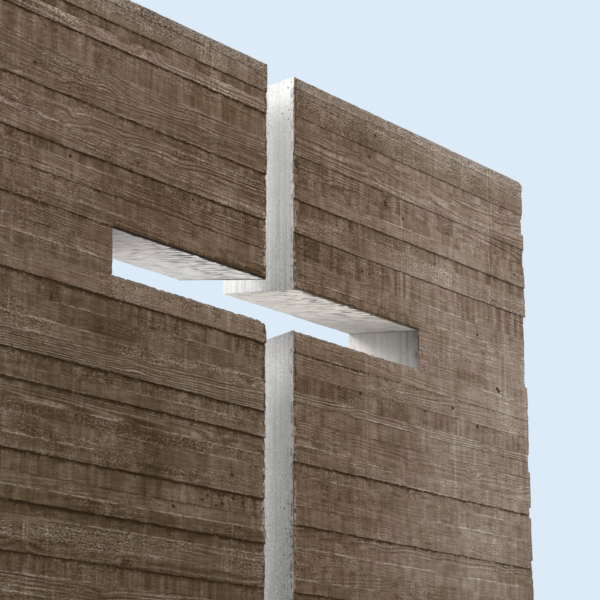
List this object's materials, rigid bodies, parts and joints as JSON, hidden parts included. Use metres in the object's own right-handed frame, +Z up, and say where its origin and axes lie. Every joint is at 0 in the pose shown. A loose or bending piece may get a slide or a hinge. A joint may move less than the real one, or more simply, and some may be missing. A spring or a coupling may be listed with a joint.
{
  "type": "board-marked concrete wall with a cross-shaped opening",
  "caption": "Free-standing wall of brown board-marked concrete, cut right through by a tall cross open at the top, with white sides that splay outwards to the back.",
  "frame": {"origin": "middle of the wall's foot, at ground level", "axes": "+X along the front face to the right, +Y through the wall from the front to the back, +Z up"},
  "size_m": [4.38, 0.49, 5.2],
  "materials": {
    "brown_concrete": "matt, with the grain, knots and steps of rough formwork boards",
    "white_skim": "matt, finely streaked and pitted"
  },
  "bodies": {
    "root": {"base_pour": "brown_concrete", "left_pour_1": "brown_concrete", "left_pour_2": "brown_concrete", "left_pour_3": "brown_concrete", "left_pour_4": "brown_concrete", "left_top_pour": "brown_concrete", "left_arm_sill_block": "brown_concrete", "left_arm_head_block": "brown_concrete", "left_arm_end_block": "brown_concrete", "right_pour_1": "brown_concrete", "right_pour_2": "brown_concrete", "right_pour_3": "brown_concrete", "right_pour_4": "brown_concrete", "right_top_pour": "brown_concrete", "right_arm_sill_block": "brown_concrete", "right_arm_head_block": "brown_concrete", "right_arm_end_block": "brown_concrete", "left_slit_lining_lower": "white_skim", "left_slit_lining_upper": "white_skim", "left_arm_sill_lining": "white_skim", "left_arm_soffit_lining": "white_skim", "left_arm_end_lining": "white_skim", "right_slit_lining_lower": "white_skim", "right_slit_lining_upper": "white_skim", "right_arm_sill_lining": "white_skim", "right_arm_soffit_lining": "white_skim", "right_arm_end_lining": "white_skim", "slit_foot_sill": "white_skim"}
  },
  "joints": []
}
